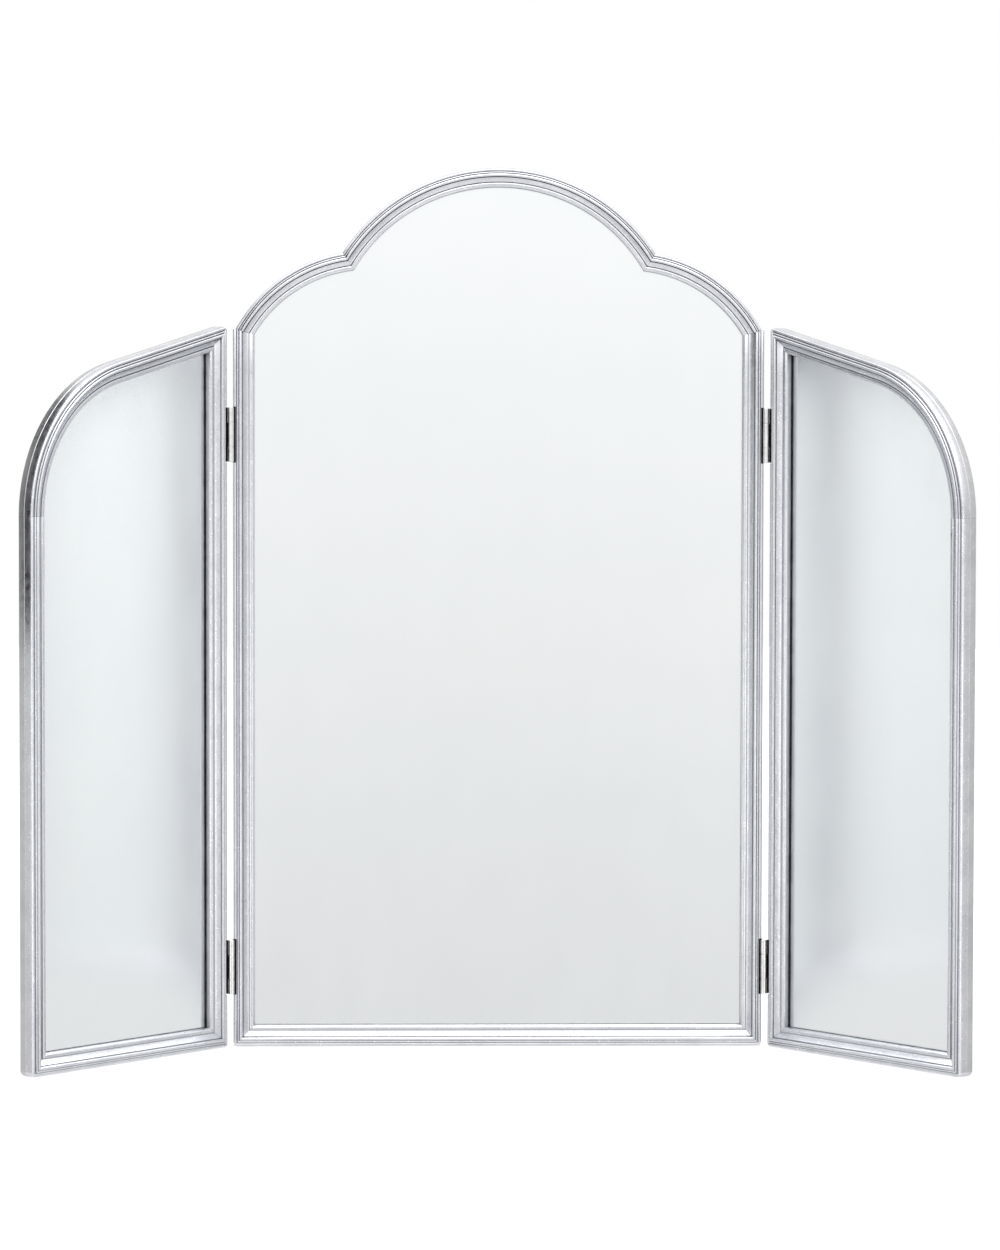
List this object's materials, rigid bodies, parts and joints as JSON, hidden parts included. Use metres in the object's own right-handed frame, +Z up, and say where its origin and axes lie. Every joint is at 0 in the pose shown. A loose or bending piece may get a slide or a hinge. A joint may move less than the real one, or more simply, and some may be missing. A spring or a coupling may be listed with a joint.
{
  "type": "trifold vanity mirror",
  "caption": "Free-standing trifold vanity mirror: scalloped centre panel and two folding wings in silver reeded mouldings, on butt hinges",
  "frame": {"origin": "middle of the centre panel's underside, on the seam between the moulding and the rear strips", "axes": "+X right as seen from the front, +Y to the back, +Z up; the mirrors face -Y"},
  "size_m": [0.6558, 0.1641, 0.6327],
  "materials": {
    "silver_moulding": "satin silver leaf paint on a wooden moulding",
    "painted_back": "satin silver paint on wood",
    "mirror": "polished silvered glass",
    "hardboard": "smooth brown hardboard",
    "zinc": "zinc plated",
    "nickel": "satin nickel"
  },
  "bodies": {
    "centre_panel": {"centre_backing_board": "hardboard", "centre_board_clips": "zinc", "centre_bottom_moulding": "silver_moulding", "centre_bottom_rear_strip": "painted_back", "centre_clip_screws": "zinc", "centre_crest_moulding": "silver_moulding", "centre_crest_rear_strip": "painted_back", "centre_left_shoulder_moulding": "silver_moulding", "centre_left_shoulder_rear_strip": "painted_back", "centre_left_stile_moulding": "silver_moulding", "centre_left_stile_rear_strip": "painted_back", "centre_mirror_glass": "mirror", "centre_right_shoulder_moulding": "silver_moulding", "centre_right_shoulder_rear_strip": "painted_back", "centre_right_stile_moulding": "silver_moulding", "centre_right_stile_rear_strip": "painted_back", "left_hinge_frame_screws": "nickel", "left_lower_hinge_frame_leaf": "nickel", "left_lower_hinge_pin": "nickel", "left_upper_hinge_frame_leaf": "nickel", "left_upper_hinge_pin": "nickel", "right_hinge_frame_screws": "nickel", "right_lower_hinge_frame_leaf": "nickel", "right_lower_hinge_pin": "nickel", "right_upper_hinge_frame_leaf": "nickel", "right_upper_hinge_pin": "nickel"},
    "left_wing": {"left_hinge_wing_screws": "nickel", "left_lower_hinge_wing_leaf": "nickel", "left_upper_hinge_wing_leaf": "nickel", "left_wing_backing_board": "hardboard", "left_wing_board_clips": "zinc", "left_wing_bottom_moulding": "silver_moulding", "left_wing_bottom_rear_strip": "painted_back", "left_wing_clip_screws": "zinc", "left_wing_hinge_stile_moulding": "silver_moulding", "left_wing_hinge_stile_rear_strip": "painted_back", "left_wing_mirror_glass": "mirror", "left_wing_outer_stile_moulding": "silver_moulding", "left_wing_outer_stile_rear_strip": "painted_back", "left_wing_top_moulding": "silver_moulding", "left_wing_top_rear_strip": "painted_back"},
    "right_wing": {"right_hinge_wing_screws": "nickel", "right_lower_hinge_wing_leaf": "nickel", "right_upper_hinge_wing_leaf": "nickel", "right_wing_backing_board": "hardboard", "right_wing_board_clips": "zinc", "right_wing_bottom_moulding": "silver_moulding", "right_wing_bottom_rear_strip": "painted_back", "right_wing_clip_screws": "zinc", "right_wing_hinge_stile_moulding": "silver_moulding", "right_wing_hinge_stile_rear_strip": "painted_back", "right_wing_mirror_glass": "mirror", "right_wing_outer_stile_moulding": "silver_moulding", "right_wing_outer_stile_rear_strip": "painted_back", "right_wing_top_moulding": "silver_moulding", "right_wing_top_rear_strip": "painted_back"}
  },
  "joints": [
    {"name": "left_wing_fold", "type": "hinge", "parent": "centre_panel", "child": "left_wing", "pos_m": [-0.192, -0.0091, 0.25], "axis": [0, 0, 1], "range_deg": [-48, 130]},
    {"name": "right_wing_fold", "type": "hinge", "parent": "centre_panel", "child": "right_wing", "pos_m": [0.192, -0.0091, 0.25], "axis": [0, 0, -1], "range_deg": [-51, 127]}
  ]
}
